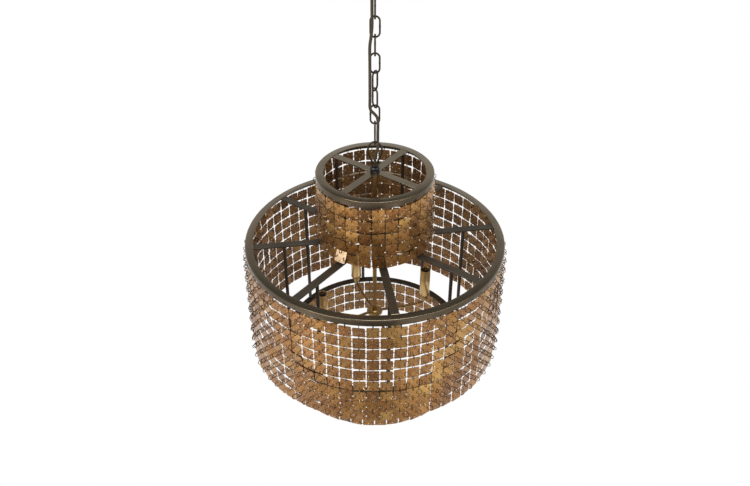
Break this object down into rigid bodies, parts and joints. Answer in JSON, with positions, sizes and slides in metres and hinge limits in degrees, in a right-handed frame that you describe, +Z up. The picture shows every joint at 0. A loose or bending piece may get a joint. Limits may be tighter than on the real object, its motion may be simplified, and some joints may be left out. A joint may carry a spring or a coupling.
{
  "type": "chandelier",
  "caption": "Hanging chandelier in stacked round tiers: curtains of linked metal plates on hoops round candle lights, hung from a ceiling canopy by a chain.",
  "frame": {"origin": "middle of the ceiling face, on the top of the canopy's bracket", "axes": "+Z up, out of the ceiling face into the ceiling; the chandelier hangs along -Z; the picture looks along +Y and down"},
  "size_m": [0.53, 0.53, 0.9576],
  "materials": {
    "bronze": "dark grey bronze, rolled and welded, dull",
    "chain_bronze": "dark bronze, half dull",
    "brass": "aged olive brass",
    "sleeve_brass": "tan gold brass with fine upright streaks",
    "copper_plates": "thin sheet plates in brown copper and orange tones",
    "gold_plates": "thin sheet plates in golden brown tones",
    "fabric": "brown woven cover",
    "porcelain": "dark lamp holder",
    "steel": "plain steel"
  },
  "bodies": {
    "ceiling": {"canopy_bracket": "steel", "canopy": "bronze", "canopy_screw_1": "brass", "canopy_screw_2": "brass", "canopy_loop": "chain_bronze", "canopy_nut": "steel", "supply_wire": "fabric"},
    "link_9": {"link_9": "chain_bronze"},
    "link_8": {"link_8": "chain_bronze"},
    "link_7": {"link_7": "chain_bronze"},
    "link_6": {"link_6": "chain_bronze"},
    "link_5": {"link_5": "chain_bronze"},
    "link_4": {"link_4": "chain_bronze"},
    "link_3": {"link_3": "chain_bronze"},
    "link_2": {"link_2": "chain_bronze"},
    "end_link": {"end_link": "chain_bronze"},
    "lamp": {"hanging_loop": "chain_bronze", "top_nut": "bronze", "small_hoop": "bronze", "top_cross": "bronze", "upright_1": "bronze", "upright_2": "bronze", "upright_3": "bronze", "upright_4": "bronze", "big_hoop": "bronze", "spider": "bronze", "lower_hoop": "bronze", "stem": "brass", "stem_coupling": "brass", "hub": "brass", "hub_nut": "brass", "arm_1": "brass", "arm_2": "brass", "arm_3": "brass", "arm_4": "brass", "sleeve_1": "sleeve_brass", "sleeve_2": "sleeve_brass", "sleeve_3": "sleeve_brass", "sleeve_4": "sleeve_brass", "socket_1": "porcelain", "socket_2": "porcelain", "socket_3": "porcelain", "socket_4": "porcelain", "small_curtain_1": "copper_plates", "small_curtain_2": "gold_plates", "small_curtain_3": "copper_plates", "small_curtain_4": "gold_plates", "big_curtain_1": "copper_plates", "big_curtain_2": "gold_plates", "big_curtain_3": "copper_plates", "big_curtain_4": "gold_plates", "big_curtain_5": "copper_plates", "big_curtain_6": "gold_plates", "big_curtain_7": "copper_plates", "big_curtain_8": "gold_plates", "lower_curtain_1": "copper_plates", "lower_curtain_2": "gold_plates", "lower_curtain_3": "copper_plates", "lower_curtain_4": "gold_plates"}
  },
  "joints": [
    {"name": "link_9_swing", "type": "hinge", "parent": "ceiling", "child": "link_9", "pos_m": [0, 0, -0.0783], "axis": [0, 1, 0], "range_deg": [-12, 12]},
    {"name": "link_8_swing", "type": "hinge", "parent": "link_9", "child": "link_8", "pos_m": [0, 0, -0.11195], "axis": [1, 0, 0], "range_deg": [-12, 12]},
    {"name": "link_7_swing", "type": "hinge", "parent": "link_8", "child": "link_7", "pos_m": [0, 0, -0.14585], "axis": [0, 1, 0], "range_deg": [-12, 12]},
    {"name": "link_6_swing", "type": "hinge", "parent": "link_7", "child": "link_6", "pos_m": [0, 0, -0.17975], "axis": [1, 0, 0], "range_deg": [-12, 12]},
    {"name": "link_5_swing", "type": "hinge", "parent": "link_6", "child": "link_5", "pos_m": [0, 0, -0.21365], "axis": [0, 1, 0], "range_deg": [-12, 12]},
    {"name": "link_4_swing", "type": "hinge", "parent": "link_5", "child": "link_4", "pos_m": [0, 0, -0.24755], "axis": [1, 0, 0], "range_deg": [-12, 12], "deforming": ["supply_wire"]},
    {"name": "link_3_swing", "type": "hinge", "parent": "link_4", "child": "link_3", "pos_m": [0, 0, -0.28145], "axis": [0.5, 0.866, 0], "range_deg": [-12, 12]},
    {"name": "link_2_swing", "type": "hinge", "parent": "link_3", "child": "link_2", "pos_m": [0, 0, -0.31535], "axis": [-0.5, 0.866, 0], "range_deg": [-12, 12]},
    {"name": "end_link_swing", "type": "hinge", "parent": "link_2", "child": "end_link", "pos_m": [0, 0, -0.34925], "axis": [-1, 0, 0], "range_deg": [-12, 12]},
    {"name": "lamp_swing", "type": "hinge", "parent": "end_link", "child": "lamp", "pos_m": [0, 0, -0.39245], "axis": [0, 1, 0], "range_deg": [-12, 12]}
  ]
}
